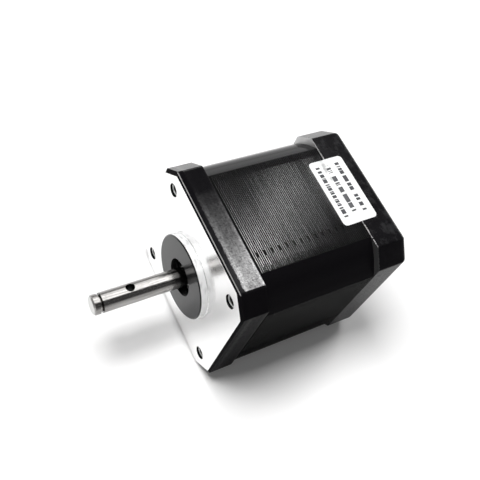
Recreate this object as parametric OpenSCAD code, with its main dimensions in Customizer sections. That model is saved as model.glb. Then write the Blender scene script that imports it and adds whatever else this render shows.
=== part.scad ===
// Hybrid stepper motor with a square flange, a ball bearing at each end and a toothed rotor.
// The shaft lies along Y and points to -Y. The origin is on its axis, at the mounting face.
// Lengths are in millimetres. The motor lies on its -Z side, and its label is on the +Z side.

/* [Body] */
// Width and height of the end bells
body_w = 42.3; // [42:0.1:44]
// Length from the mounting face to the rear face
body_len = 48; // [44:1:76]
// Corner cut of the end bells, measured along one side
bell_corner = 4.4; // [3.8:0.1:5]
// Radius of the end bells' eight long edges
bell_edge_r = 0.8; // [0.4:0.1:1.2]
// Thickness of the end bells' walls at the middle of a side
bell_wall = 1.95; // [1.8:0.05:2.1]
// Share of the width that lies between neighbouring screw holes
hole_share = 0.7329; // [0.726:0.0001:0.736]

/* [Front end bell] */
// Length of the front end bell's sides
front_bell_len = 7; // [6.8:0.1:9]
// Wall behind the mounting face
front_web = 2.4; // [2:0.1:2.8]
// Width of the bevel round the mounting face
face_bevel = 0.55; // [0.2:0.05:0.8]
// Length of that bevel along the sides
face_bevel_len = 0.6; // [0.2:0.1:1.2]
// Corner cut of the mounting face, measured along one side
face_corner = 4.8; // [4.2:0.1:5.6]
// Diameter of the pilot boss that centres the motor
pilot_d = 22; // [21:0.1:23]
// Height of the pilot boss
pilot_h = 2; // [1.5:0.1:2.5]
// Chamfer on the pilot boss
pilot_chamfer = 0.3; // [0.1:0.05:0.5]
// Bore of the pilot boss round the shaft
pilot_bore_d = 9.8; // [8.8:0.1:10.4]
// Width of the relief groove at the pilot boss's root
relief_w = 0.4; // [0.2:0.05:0.6]
// Depth of that relief groove
relief_depth = 0.15; // [0.1:0.05:0.15]

/* [Rear end bell] */
// Length of the rear end bell
rear_bell_len = 9.4; // [9.2:0.1:12]
// Wall between the rear cavity and the rear face
rear_web = 2.6; // [2.4:0.1:2.8]
// Floor behind the rear bearing's pocket
rear_floor = 1.6; // [1.3:0.1:1.8]
// Radius of the rounded rear edge
rear_edge_r = 2; // [1:0.1:2.4]
// Hole in the rear face that shows the end of the shaft
rear_hole_d = 9; // [7:0.5:10]

/* [Stator] */
// How far the stack's sides lie inside the end bells' sides
stack_inset = 0.15; // [0.05:0.05:0.3]
// How far the stack's corners are rounded off along the diagonal
stack_corner = 4.6; // [4.2:0.05:4.8]
// Thickness of the iron behind the slots at the middle of a side
yoke_t = 2.8; // [2.7:0.05:2.9]
// Width of a pole's neck
pole_w = 4; // [3.6:0.1:4.4]
// Thickness of a pole shoe behind its teeth
shoe_t = 1.3; // [1:0.1:1.5]
// Height of a stator tooth
stator_tooth_h = 0.7; // [0.5:0.05:0.8]
// Gap between the stator's teeth and the rotor's
air_gap = 0.1; // [0.06:0.01:0.2]
// Share of a tooth pitch that the tooth takes
tooth_share = 0.42; // [0.35:0.01:0.5]
// Width of a notch in the row along the stack
notch_w = 1.3; // [1:0.1:1.6]
// Length of a notch along the motor
notch_len = 1; // [0.6:0.1:1.4]
// Distance between neighbouring notches
notch_pitch = 2; // [1.8:0.1:3]
// Depth of a notch
notch_depth = 0.4; // [0.2:0.1:0.6]
// Distance of the row from the middle of the side
notch_offset = 9.1; // [6:0.1:10]
// Distance of the first notch's middle from the front of the stack
notch_start = 1.75; // [1:0.05:2.5]

/* [Rotor] */
// Diameter over the rotor's teeth
rotor_d = 22; // [21.4:0.1:22.2]
// Height of a rotor tooth
rotor_tooth_h = 0.75; // [0.5:0.05:1]
// How far each end of the rotor lies inside the stack
rotor_inset = 0.3; // [0.1:0.05:0.6]
// Gap between the two rotor cups
cup_gap = 1; // [0.6:0.1:1.6]
// Diameter of the magnet between the cups
magnet_d = 16; // [12:0.5:18]
// Thickness of the magnet
magnet_t = 3; // [2.2:0.1:4]
// Diameter of the spacers beside the bearings
spacer_d = 7.6; // [7:0.1:8]

/* [Shaft] */
// Diameter of the shaft
shaft_d = 5; // [4.8:0.05:5.1]
// Diameter of the shaft between the bearings
seat_d = 6; // [5.6:0.1:6.2]
// How far the shaft's tip reaches past the mounting face
shaft_reach = 25; // [22:0.5:32]
// Chamfer on the shaft's ends
tip_chamfer = 0.4; // [0.1:0.1:0.6]
// Distance of the ring groove from the tip
ring_from_tip = 1.65; // [1.2:0.05:3]
// Width of the ring groove
ring_w = 0.7; // [0.4:0.1:1.2]
// Depth of the ring groove
ring_depth = 0.45; // [0.2:0.05:0.6]
// Diameter of the cross hole
cross_hole_d = 2.3; // [1.5:0.1:2.6]
// Distance of the cross hole's middle from the tip
cross_hole_from_tip = 9.7; // [8:0.1:12]
// Turn of the cross hole from upright, in degrees
cross_hole_turn = 12.5; // [-45:0.5:45]
// Depth of the shaft's rear end inside the rear face
shaft_rear_inset = 0.8; // [0.4:0.1:1]
// Width of the grinding relief in front of the front bearing
shaft_relief_w = 0.9; // [0.6:0.1:1.1]
// Depth of that grinding relief
shaft_relief_depth = 0.2; // [0.16:0.02:0.3]

/* [Bearings] */
// Outer diameter of a bearing
bearing_od = 16; // [15.8:0.1:16.4]
// Width of a bearing
bearing_w = 5; // [4.8:0.1:5.2]
// Diameter of a ball
ball_d = 2.4; // [2.2:0.05:2.5]
// Diameter of the circle that the balls run on
ball_circle_d = 10.5; // [10.3:0.1:10.7]
// How far each race's land stands past the bottom of its ball groove
groove_depth = 0.4; // [0.3:0.02:0.45]
// Radial thickness of a cage
cage_t = 0.9; // [0.7:0.05:1]
// Width of a cage
cage_w = 3; // [2.8:0.1:3.2]
// Thickness of a shield
shield_t = 0.25; // [0.15:0.05:0.3]
// How far a shield lies inside the bearing's face
shield_inset = 0.2; // [0.1:0.05:0.3]
// How far a shield's rim reaches into the outer race
shield_bite = 0.8; // [0.5:0.1:0.9]
// Chamfer on the races' outer corners
race_chamfer = 0.3; // [0.1:0.05:0.4]
// Wall round a bearing's pocket
hub_wall = 1.6; // [1.3:0.1:1.9]
// Thickness of the wave washer's strip
washer_t = 0.2; // [0.1:0.05:0.3]
// Height that the wave washer fills behind the rear bearing
washer_space = 0.8; // [0.6:0.1:0.9]
// Width of the wave washer's strip
washer_w = 2.2; // [1.6:0.1:2.6]

/* [Windings] */
// Height of the front bobbin's flanges above the stack
front_flange_h = 3.9; // [3.7:0.1:4.1]
// Height of the rear bobbin's flanges above the stack
rear_flange_h = 4.9; // [4.8:0.1:5.2]
// Thickness of the bobbins' inner flanges
flange_t = 0.9; // [0.6:0.1:1]
// Thickness of the bobbins' saddles over the pole ends
saddle_t = 0.8; // [0.5:0.1:1]
// Thickness of the slot liners
liner_t = 0.35; // [0.2:0.05:0.5]
// Thickness of a coil beside its pole
coil_t = 3; // [2:0.1:3.2]
// Height of a coil past its saddle
coil_end_h = 2.6; // [2:0.1:2.6]
// Radius of a coil's outer corners
coil_corner_r = 2; // [1:0.1:2.4]
// Gap between neighbouring coils
coil_gap = 0.3; // [0.2:0.05:0.6]
// Thickness of the terminal board
board_t = 1; // [0.8:0.1:1.2]
// Side of a square pin or post
pin_w = 0.5; // [0.4:0.05:0.6]
// How far the pins and posts stand past the terminal board
solder_h = 0.5; // [0.3:0.05:0.6]

/* [Connector] */
// Width of the connector
connector_w = 15.8; // [15:0.1:16.2]
// How far the connector stands out of the side
connector_out = 2.4; // [1:0.1:4]
// Thickness of the connector's walls
connector_wall = 0.6; // [0.5:0.05:0.7]
// Height of the socket
socket_h = 4.5; // [4.2:0.1:4.6]
// Width of the shoulders that keep the connector in the bell
shoulder_w = 0.8; // [0.5:0.1:1]
// Thickness of those shoulders
shoulder_t = 1.2; // [0.8:0.1:1.4]
// Distance between neighbouring pins
pin_pitch = 2; // [1.8:0.05:2.2]
// How far the pins stay inside the socket's mouth
pin_inset = 0.9; // [0.5:0.1:1.5]
// Width of a keying slot in the socket's wall
key_slot_w = 1.2; // [0.8:0.1:1.6]

/* [Screws and label] */
// Diameter of the screws' shanks
screw_d = 2.9; // [2.6:0.05:2.95]
// Diameter of the threaded holes in the mounting face
thread_d = 3; // [2.9:0.05:3.2]
// Diameter of the threads' core, in which the through screws bite
core_d = 2.5; // [2.3:0.05:2.6]
// Diameter of the countersinks at those holes
countersink_d = 3.6; // [3.3:0.1:4]
// Diameter of the screws' clearance holes
screw_hole_d = 3.4; // [3.2:0.1:3.6]
// Depth of thread left free for the mounting screws
free_thread = 4.5; // [4:0.1:5]
// Diameter of the screws' heads
head_d = 5.5; // [5:0.1:5.7]
// Height of the screws' heads
head_h = 2; // [1.6:0.1:2.2]
// Radius of the heads' domes
dome_r = 4; // [3.4:0.1:6]
// Diameter of the counterbores round the heads
counterbore_d = 6.2; // [6:0.1:6.4]
// Depth of those counterbores
counterbore_depth = 2.5; // [2.3:0.1:3]
// Width of the label across the side
label_w = 19; // [12:0.5:20]
// Length of the label along the motor
label_len = 10; // [8:0.5:12]
// Radius of the label's corners
label_corner_r = 1; // [0.5:0.1:2]
// Thickness of the label
label_t = 0.1; // [0.05:0.01:0.15]
// Distance of the label's edge from the rear face
label_rear_margin = 4.4; // [3:0.1:5]
// Distance of the label's middle from the middle of the side
label_shift = -0.4; // [-2:0.1:2]
// Length over which the label climbs from the stack onto the bell
label_ramp = 0.8; // [0.4:0.1:1.5]

/* [Fits] */
// Clearance round pieces that are pressed or glued in
seat_gap = 0.02; // [0:0.01:0.04]
// Clearance round pieces that are laid in by hand
loose_gap = 0.1; // [0.05:0.01:0.15]
// Play between a ball and its races or its cage
ball_play = 0.08; // [0.05:0.01:0.1]

/* [Hidden] */

$fn = 96;
// Facets of the rounded edges
edge_facets = 32;
// Reach of a cut past the surface that it opens
overrun = 1;
// Thickness of a slice that a blended shell is stretched over
sliver = 0.01;

// Counts that the motor's step angle sets
pole_count = 8;
teeth_per_pole = 6;
rotor_teeth = 50;
tooth_pitch = 360 / rotor_teeth;
ball_count = 7;
pin_count = 6;
wave_count = 3;
wave_steps = 60;

// Depths behind the mounting face
stack_front = front_bell_len;
stack_rear = body_len - rear_bell_len;
stack_len = stack_rear - stack_front;
rear_cavity_h = rear_bell_len - rear_web;
rear_pocket_floor = body_len - rear_floor;
rear_bearing_at = rear_pocket_floor - washer_space - bearing_w;
board_at = stack_rear + rear_flange_h;

// Widths, radii and half widths
hole_spacing = hole_share * body_w;
stack_w = body_w - 2 * stack_inset;
stack_corner_r = stack_w / sqrt(2) - stack_corner;
cavity_r = body_w / 2 - bell_wall;
slot_r = stack_w / 2 - yoke_t;
bore_r = rotor_d / 2 + air_gap;
tooth_root_r = bore_r + stator_tooth_h;
shoe_r = tooth_root_r + shoe_t;
shoe_half_turn = (teeth_per_pole - 1 + tooth_share) / 2 * tooth_pitch;
hub_r = bearing_od / 2 + hub_wall;
shaft_r = shaft_d / 2;
seat_r = seat_d / 2;
ball_circle_r = ball_circle_d / 2;
groove_r = ball_d / 2 + ball_play;
inner_land_r = ball_circle_r - groove_r + groove_depth;
outer_land_r = ball_circle_r + groove_r - groove_depth;
shield_r = outer_land_r + shield_bite;
cup_len = (stack_len - 2 * rotor_inset - cup_gap) / 2;
magnet_recess = (magnet_t - cup_gap) / 2;
saddle_w = pole_w + 2 * (seat_gap + liner_t);
liner_len = stack_len / 2 - loose_gap;

// The connector stands on the rear end of the stack, with its mouth towards -X
mouth_x = body_w / 2 + connector_out;
window_shoulder_x = cavity_r + shoulder_t / 3;
connector_back_x = window_shoulder_x - loose_gap - shoulder_t;
connector_h = rear_cavity_h - loose_gap;
socket_back_x = connector_back_x + connector_wall;
pin_h = connector_h - connector_wall - socket_h / 2;
pin_bend_x = connector_back_x - 2 * pin_w;

// Lays a piece that is drawn upwards along the motor's axis, this far behind the mounting face
module laid(depth = 0)
    translate([0, depth, 0])
        rotate([-90, 0, 0])
            children();

// Repeats a piece at the four screw holes
module at_screws()
    for (x = [-1, 1], y = [-1, 1])
        translate([x, y, 0] * hole_spacing / 2)
            children();

// Repeats a piece at each pole, or at every second pole, with X pointing outwards
module at_poles(first = 0, step = 1)
    for (i = [first:step:pole_count - 1])
        rotate(i * 360 / pole_count)
            children();

module ring(outer_r, inner_r, h)
    linear_extrude(h)
        difference() {
            circle(outer_r);
            circle(inner_r);
        }

// A flat triangle that opens from the axis by this half turn to each side
module wedge(half_turn, reach)
    polygon([[0, 0], [reach, -reach * tan(half_turn)], [reach, reach * tan(half_turn)]]);

// End bells

// One thin slice of a bell: a square with cut and rounded corners
module bell_slice(w, corner, at)
    translate([0, 0, at])
        linear_extrude(sliver)
            for (turn = [0:90:270], side = [-1, 1])
                rotate(turn)
                    translate([w / 2 - bell_edge_r, side * (w / 2 - corner - bell_edge_r * (sqrt(2) - 1))])
                        circle(bell_edge_r, $fn = edge_facets);

module front_shell()
    hull() {
        bell_slice(body_w - 2 * face_bevel, face_corner, 0);
        bell_slice(body_w, bell_corner, face_bevel_len);
        bell_slice(body_w, bell_corner, front_bell_len - sliver);
    }

module rear_shell()
    hull() {
        bell_slice(body_w, bell_corner, 0);
        for (turn = [0:15:90])
            bell_slice(body_w - 2 * rear_edge_r * (1 - cos(turn)),
                bell_corner - (2 - sqrt(2)) * rear_edge_r * (1 - cos(turn)),
                rear_bell_len - rear_edge_r * (1 - sin(turn)) - sliver);
    }

// The boss above the mounting face, with its chamfer, drawn below zero
module pilot_boss()
    rotate_extrude()
        polygon([[0, 0], [pilot_d / 2, 0], [pilot_d / 2, pilot_chamfer - pilot_h],
            [pilot_d / 2 - pilot_chamfer, -pilot_h], [0, -pilot_h]]);

// A thread for the mounting screw in front, and the core for the through screw behind it
module threaded_hole()
    union() {
        translate([0, 0, -overrun])
            cylinder(free_thread + overrun, d = thread_d);
        cylinder(front_bell_len + overrun, d = core_d);
        cylinder(countersink_d - thread_d, d1 = countersink_d, d2 = thread_d - (countersink_d - thread_d));
    }

module front_end_bell()
    color("#1a1a1c")
        laid()
            difference() {
                union() {
                    front_shell();
                    pilot_boss();
                }
                translate([0, 0, -pilot_h - overrun])
                    cylinder(pilot_h + 2 * overrun, d = pilot_bore_d);
                cylinder(front_bell_len + overrun, r = bearing_od / 2);
                translate([0, 0, -overrun])
                    ring(pilot_d / 2 + relief_w, pilot_d / 2, overrun + relief_depth);
                translate([0, 0, front_web])
                    ring(cavity_r, hub_r, front_bell_len);
                translate([0, 0, bearing_w])
                    cylinder(front_bell_len, r = hub_r + overrun);
                at_screws()
                    threaded_hole();
            }

module connector_window()
    for (step = [0, 1])
        translate([step ? -window_shoulder_x : -mouth_x,
                -connector_w / 2 - loose_gap - step * shoulder_w, -overrun])
            cube([mouth_x - hub_r - overrun - (step ? mouth_x - window_shoulder_x : 0),
                connector_w + 2 * (loose_gap + step * shoulder_w), rear_cavity_h + overrun]);

module rear_end_bell()
    color("#151517")
        laid(stack_rear)
            difference() {
                rear_shell();
                translate([0, 0, -overrun])
                    ring(cavity_r, hub_r, rear_cavity_h + overrun);
                translate([0, 0, -overrun])
                    cylinder(rear_bearing_at - stack_rear + overrun, r = hub_r + overrun);
                translate([0, 0, -overrun])
                    cylinder(rear_bell_len - rear_floor + overrun, r = bearing_od / 2);
                cylinder(rear_bell_len + overrun, d = rear_hole_d);
                connector_window();
                at_screws() {
                    translate([0, 0, -overrun])
                        cylinder(rear_bell_len + 2 * overrun, d = screw_hole_d);
                    translate([0, 0, rear_bell_len - counterbore_depth])
                        cylinder(counterbore_depth + overrun, d = counterbore_d);
                }
            }

// Stator

// The gaps between one pole's teeth, or all of the rotor's
module tooth_gaps(rim_r, tooth_h, first, last)
    for (i = [first:last])
        rotate(i * tooth_pitch)
            translate([rim_r, -(1 - tooth_share) * rim_r * tooth_pitch / 2 * PI / 180])
                square([tooth_h, (1 - tooth_share) * rim_r * tooth_pitch * PI / 180]);

module pole_profile()
    difference() {
        union() {
            intersection() {
                difference() {
                    circle(shoe_r);
                    circle(bore_r);
                }
                wedge(shoe_half_turn, 2 * shoe_r);
            }
            translate([tooth_root_r + shoe_t / 2, -pole_w / 2])
                square([slot_r - tooth_root_r + yoke_t / 4, pole_w]);
        }
        translate([-overrun, 0])
            tooth_gaps(bore_r, stator_tooth_h + overrun, 1 - teeth_per_pole / 2, teeth_per_pole / 2 - 1);
    }

module stack_profile()
    difference() {
        union() {
            difference() {
                intersection() {
                    square(stack_w, center = true);
                    circle(stack_corner_r);
                }
                circle(slot_r);
            }
            at_poles()
                pole_profile();
        }
        at_screws()
            circle(d = screw_hole_d);
    }

// The stack is turned over every few laminations, so its notches show on two opposite sides
module notch_row()
    for (at = [notch_start:notch_pitch:stack_len - notch_len])
        translate([notch_offset - notch_w / 2, -stack_w / 2 - overrun, at - notch_len / 2])
            cube([notch_w, notch_depth + overrun, notch_len]);

module stator_stack()
    color("#232325")
        laid(stack_front)
            difference() {
                linear_extrude(stack_len)
                    stack_profile();
                notch_row();
                rotate(180)
                    notch_row();
            }

// Windings

module slot_liners()
    translate([0, 0, -liner_len])
        linear_extrude(liner_len)
            intersection() {
                difference() {
                    circle(slot_r - seat_gap);
                    circle(shoe_r + seat_gap);
                }
                at_poles()
                    for (side = [-1, 1])
                        translate([0, side * (saddle_w - liner_t) / 2 - liner_t / 2])
                            square([slot_r, liner_t]);
            }

// A bobbin end that stands on the stack, with its liners reaching down the slots
module bobbin(flange_h) {
    ring(cavity_r - loose_gap, slot_r, flange_h);
    linear_extrude(saddle_t)
        intersection() {
            circle(slot_r + liner_t);
            at_poles()
                translate([shoe_r - flange_t, -saddle_w / 2])
                    square([slot_r - shoe_r + 2 * flange_t, saddle_w]);
        }
    linear_extrude(flange_h)
        intersection() {
            difference() {
                circle(shoe_r);
                circle(shoe_r - flange_t);
            }
            at_poles()
                wedge(shoe_half_turn, 2 * shoe_r);
        }
    slot_liners();
}

// Room above the stack for the connector, and above the saddles for its pins
module connector_space() {
    half_w = connector_w / 2 + shoulder_w + loose_gap;
    translate([-mouth_x, -half_w, 0])
        cube([mouth_x - connector_back_x + loose_gap, 2 * half_w, rear_bell_len]);
    translate([-mouth_x, -half_w, saddle_t])
        cube([mouth_x - pin_bend_x + 2 * pin_w, 2 * half_w, rear_flange_h - saddle_t]);
}

module front_bobbin()
    color("ivory")
        laid(stack_front)
            mirror([0, 0, 1])
                bobbin(front_flange_h);

module rear_bobbin()
    color("ivory")
        laid(stack_rear)
            difference() {
                bobbin(rear_flange_h);
                connector_space();
                winding_post_places(rear_flange_h - 2 * board_t, seat_gap);
            }

// One coil round its bobbin, filled out to its neighbours
module coil() {
    core_w = saddle_w + 2 * seat_gap;
    core_h = stack_len + 2 * (saddle_t + seat_gap);
    intersection() {
        difference() {
            hull()
                for (y = [-1, 1], z = [-1, 1])
                    translate([0, y * (core_w / 2 + coil_t - coil_corner_r),
                            z * (core_h / 2 + coil_end_h - coil_corner_r)])
                        rotate([0, 90, 0])
                            cylinder(slot_r, r = coil_corner_r, $fn = edge_facets);
            translate([0, -core_w / 2, -core_h / 2])
                cube([slot_r, core_w, core_h]);
        }
        translate([0, 0, -stack_len])
            linear_extrude(2 * stack_len)
                intersection() {
                    difference() {
                        circle(slot_r - loose_gap);
                        circle(shoe_r + loose_gap);
                    }
                    translate([coil_gap / 2 / sin(180 / pole_count), 0])
                        wedge(180 / pole_count, slot_r);
                }
    }
}

module coils_phase_a()
    color("#b5642f")
        laid(stack_front + stack_len / 2)
            at_poles(0, 2)
                coil();

module coils_phase_b()
    color("#a85826")
        laid(stack_front + stack_len / 2)
            at_poles(1, 2)
                coil();

// Places of the four posts on which the windings end, beside the connector
module winding_post_places(from, gap)
    for (turn = [-60, -45, 45, 60])
        rotate(180 + turn)
            translate([(slot_r + cavity_r - loose_gap) / 2, 0, from])
                linear_extrude(stack_len)
                    square(pin_w + 2 * gap, center = true);

module pin_places()
    for (i = [0:pin_count - 1])
        translate([0, (i - (pin_count - 1) / 2) * pin_pitch, 0])
            children();

module terminal_board()
    color("#2f6b3a")
        laid(board_at)
            difference() {
                ring(cavity_r - loose_gap, shoe_r - flange_t, board_t);
                translate([0, 0, -rear_flange_h])
                    connector_space();
                winding_post_places(-overrun, seat_gap);
                pin_places()
                    translate([-pin_bend_x - seat_gap, -pin_w / 2 - seat_gap, -overrun])
                        cube([pin_w + 2 * seat_gap, pin_w + 2 * seat_gap, board_t + 2 * overrun]);
            }

module winding_posts()
    color("#c9a14a")
        laid(board_at)
            intersection() {
                winding_post_places(-2 * board_t, 0);
                translate([0, 0, -2 * board_t])
                    cylinder(3 * board_t + solder_h, r = cavity_r);
            }

// Connector

module connector_housing()
    color("whitesmoke")
        laid(stack_rear)
            difference() {
                union() {
                    translate([-mouth_x, -connector_w / 2, 0])
                        cube([mouth_x - connector_back_x, connector_w, connector_h]);
                    translate([-connector_back_x - shoulder_t, -connector_w / 2 - shoulder_w, 0])
                        cube([shoulder_t, connector_w + 2 * shoulder_w, connector_h]);
                }
                translate([-mouth_x - overrun, -connector_w / 2 + connector_wall, pin_h - socket_h / 2])
                    cube([mouth_x + overrun - socket_back_x, connector_w - 2 * connector_wall, socket_h]);
                for (side = [-1, 1])
                    translate([-mouth_x - overrun, side * pin_pitch * pin_count / 3 - key_slot_w / 2,
                            pin_h])
                        cube([connector_out + overrun, key_slot_w, connector_h]);
                pin_places()
                    translate([-mouth_x, -pin_w / 2 - seat_gap, pin_h - pin_w / 2 - seat_gap])
                        cube([mouth_x, pin_w + 2 * seat_gap, pin_w + 2 * seat_gap]);
            }

module connector_pins()
    color("#d0d0c8")
        laid(stack_rear)
            pin_places() {
                translate([-mouth_x + pin_inset, -pin_w / 2, pin_h - pin_w / 2])
                    cube([mouth_x - pin_inset - pin_bend_x + pin_w, pin_w, pin_w]);
                translate([-pin_bend_x, -pin_w / 2, pin_h - pin_w / 2])
                    cube([pin_w, pin_w, board_at - stack_rear + board_t + solder_h - pin_h + pin_w / 2]);
            }

// Screws

// A pan head with a cross recess, drawn upwards from its seat
module screw_head()
    difference() {
        intersection() {
            cylinder(head_h, d = head_d);
            translate([0, 0, head_h - dome_r])
                sphere(dome_r);
        }
        translate([0, 0, head_h - head_d / 4])
            intersection() {
                cylinder(head_d / 4, r1 = head_d / 12, r2 = head_d / 3.5);
                linear_extrude(head_d)
                    for (turn = [0, 90])
                        rotate(turn)
                            square([head_d, head_d / 8], center = true);
            }
    }

module through_screws() {
    tip_at = free_thread + loose_gap;
    tip_d = core_d - 2 * seat_gap;
    tip_cone = tip_d / 6;
    shank_at = front_bell_len + loose_gap;
    head_at = body_len - counterbore_depth;
    color("#8f9196")
        laid()
            at_screws() {
                translate([0, 0, tip_at])
                    cylinder(tip_cone, d1 = tip_d - 2 * tip_cone, d2 = tip_d);
                translate([0, 0, tip_at + tip_cone])
                    cylinder(shank_at - tip_at - tip_cone, d = tip_d);
                translate([0, 0, shank_at])
                    cylinder(head_at - shank_at, d = screw_d);
                translate([0, 0, head_at])
                    screw_head();
            }
}

// Label

module rating_label() {
    label_rear = body_len - label_rear_margin;
    label_front = label_rear - label_len;
    color("white")
        intersection() {
            translate([label_shift, label_front + label_len / 2, 0])
                linear_extrude(body_w)
                    hull()
                        for (x = [-1, 1], y = [-1, 1])
                            translate([x * (label_w / 2 - label_corner_r), y * (label_len / 2 - label_corner_r)])
                                circle(label_corner_r, $fn = edge_facets);
            translate([label_shift - label_w, 0, 0])
                rotate([90, 0, 90])
                    linear_extrude(2 * label_w)
                        polygon([[0, stack_w / 2], [stack_rear - label_ramp, stack_w / 2],
                            [stack_rear, body_w / 2], [body_len, body_w / 2],
                            [body_len, body_w / 2 + label_t], [stack_rear, body_w / 2 + label_t],
                            [stack_rear - label_ramp, stack_w / 2 + label_t], [0, stack_w / 2 + label_t]]);
        }
}

// Rotor

module shaft() {
    relief_rear = -pilot_h / 4;
    relief_front = relief_rear - shaft_relief_w;
    ring_front = ring_from_tip - shaft_reach;
    ring_rear = ring_front + ring_w;
    front_shoulder = bearing_w;
    rear_end = body_len - shaft_rear_inset;
    color("#b9bbbd")
        laid()
            difference() {
                rotate_extrude()
                    polygon([[0, -shaft_reach], [shaft_r - tip_chamfer, -shaft_reach],
                        [shaft_r, tip_chamfer - shaft_reach],
                        [shaft_r, ring_front], [shaft_r - ring_depth, ring_front],
                        [shaft_r - ring_depth, ring_rear], [shaft_r, ring_rear],
                        [shaft_r, relief_front], [shaft_r - shaft_relief_depth, relief_front],
                        [shaft_r - shaft_relief_depth, relief_rear], [shaft_r, relief_rear],
                        [shaft_r, front_shoulder], [seat_r, front_shoulder],
                        [seat_r, rear_bearing_at], [shaft_r, rear_bearing_at],
                        [shaft_r, rear_end - tip_chamfer], [shaft_r - tip_chamfer, rear_end],
                        [0, rear_end]]);
                translate([0, 0, cross_hole_from_tip - shaft_reach])
                    rotate(-cross_hole_turn)
                        rotate([90, 0, 0])
                            cylinder(2 * shaft_d, d = cross_hole_d, center = true);
            }
}

// A toothed cup, with the magnet's recess in its upper end
module rotor_cup()
    difference() {
        linear_extrude(cup_len)
            difference() {
                circle(d = rotor_d);
                circle(seat_r + seat_gap);
                tooth_gaps(rotor_d / 2 - rotor_tooth_h, rotor_tooth_h + overrun, 0, rotor_teeth - 1);
            }
        translate([0, 0, cup_len - magnet_recess])
            cylinder(magnet_recess + overrun, r = magnet_d / 2 + seat_gap);
    }

module front_rotor_cup()
    color("#6d6f72")
        laid(stack_front + rotor_inset)
            rotor_cup();

// The rear cup's teeth stand behind the front cup's gaps
module rear_rotor_cup()
    color("#66686b")
        laid(stack_rear - rotor_inset)
            mirror([0, 0, 1])
                rotate(tooth_pitch / 2)
                    rotor_cup();

module rotor_magnet()
    color("#3a3a3e")
        laid(stack_front + rotor_inset + cup_len - magnet_recess + seat_gap)
            ring(magnet_d / 2, seat_r + seat_gap, magnet_t - 2 * seat_gap);

module front_spacer()
    color("#c2a35a")
        laid(bearing_w)
            ring(spacer_d / 2, seat_r + seat_gap, stack_front + rotor_inset - bearing_w);

module rear_spacer()
    color("#c2a35a")
        laid(stack_rear - rotor_inset)
            ring(spacer_d / 2, seat_r + seat_gap, rear_bearing_at - stack_rear + rotor_inset);

// Bearings, drawn upwards from their front faces

module ball_groove()
    translate([ball_circle_r, bearing_w / 2])
        circle(groove_r);

module outer_race()
    rotate_extrude()
        difference() {
            rim_r = bearing_od / 2 - seat_gap;
            step_h = shield_inset + shield_t;
            polygon([[shield_r, 0], [rim_r - race_chamfer, 0], [rim_r, race_chamfer],
                [rim_r, bearing_w - race_chamfer], [rim_r - race_chamfer, bearing_w],
                [shield_r, bearing_w], [shield_r, bearing_w - step_h], [outer_land_r, bearing_w - step_h],
                [outer_land_r, step_h], [shield_r, step_h]]);
            ball_groove();
        }

module inner_race()
    rotate_extrude()
        difference() {
            bore = shaft_r + seat_gap;
            polygon([[bore, 0], [inner_land_r, 0], [inner_land_r, bearing_w], [bore, bearing_w]]);
            ball_groove();
        }

module at_balls()
    for (i = [0:ball_count - 1])
        rotate(i * 360 / ball_count)
            translate([ball_circle_r, 0, bearing_w / 2])
                children();

module bearing_cage()
    difference() {
        translate([0, 0, (bearing_w - cage_w) / 2])
            ring(ball_circle_r + cage_t / 2, ball_circle_r - cage_t / 2, cage_w);
        at_balls()
            rotate([0, 90, 0])
                cylinder(2 * cage_t, r = groove_r, center = true);
    }

module bearing_balls()
    at_balls()
        sphere(d = ball_d);

module bearing_shields()
    for (at = [shield_inset, bearing_w - shield_inset - shield_t])
        translate([0, 0, at])
            ring(shield_r - seat_gap, inner_land_r + cage_t / 4, shield_t);

// A flat strip bent into waves round a ring, as one closed surface
module wave_washer() {
    rise = washer_space - washer_t - 2 * seat_gap;
    rim_r = bearing_od / 2 - loose_gap;
    corners = [[rim_r - washer_w, 0], [rim_r, 0], [rim_r, washer_t], [rim_r - washer_w, washer_t]];
    points = [for (i = [0:wave_steps - 1], c = corners)
        let (turn = 360 * i / wave_steps)
            [c[0] * cos(turn), c[0] * sin(turn), c[1] + rise * (1 + cos(wave_count * turn)) / 2]];
    faces = [for (i = [0:wave_steps - 1], k = [0:3], half = [0, 1])
        let (a = 4 * i, b = 4 * ((i + 1) % wave_steps), m = (k + 1) % 4)
            half == 0 ? [a + k, b + k, b + m] : [a + k, b + m, a + m]];
    color("#a9abae")
        laid(rear_bearing_at + bearing_w + seat_gap)
            polyhedron(points, faces);
}

module front_bearing_outer_race() color("#9fa1a4") laid() outer_race();
module front_bearing_inner_race() color("#a6a8ab") laid() inner_race();
module front_bearing_cage() color("#7c6a45") laid() bearing_cage();
module front_bearing_balls() color("#d9dadb") laid() bearing_balls();
module front_bearing_shields() color("#8c8e92") laid() bearing_shields();
module rear_bearing_outer_race() color("#9fa1a4") laid(rear_bearing_at) outer_race();
module rear_bearing_inner_race() color("#a6a8ab") laid(rear_bearing_at) inner_race();
module rear_bearing_cage() color("#7c6a45") laid(rear_bearing_at) bearing_cage();
module rear_bearing_balls() color("#d9dadb") laid(rear_bearing_at) bearing_balls();
module rear_bearing_shields() color("#8c8e92") laid(rear_bearing_at) bearing_shields();

front_end_bell();
rear_end_bell();
stator_stack();
front_bobbin();
rear_bobbin();
coils_phase_a();
coils_phase_b();
terminal_board();
winding_posts();
connector_housing();
connector_pins();
through_screws();
rating_label();
wave_washer();
shaft();
front_rotor_cup();
rear_rotor_cup();
rotor_magnet();
front_spacer();
rear_spacer();
front_bearing_outer_race();
front_bearing_inner_race();
front_bearing_cage();
front_bearing_balls();
front_bearing_shields();
rear_bearing_outer_race();
rear_bearing_inner_race();
rear_bearing_cage();
rear_bearing_balls();
rear_bearing_shields();
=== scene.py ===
import math

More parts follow.
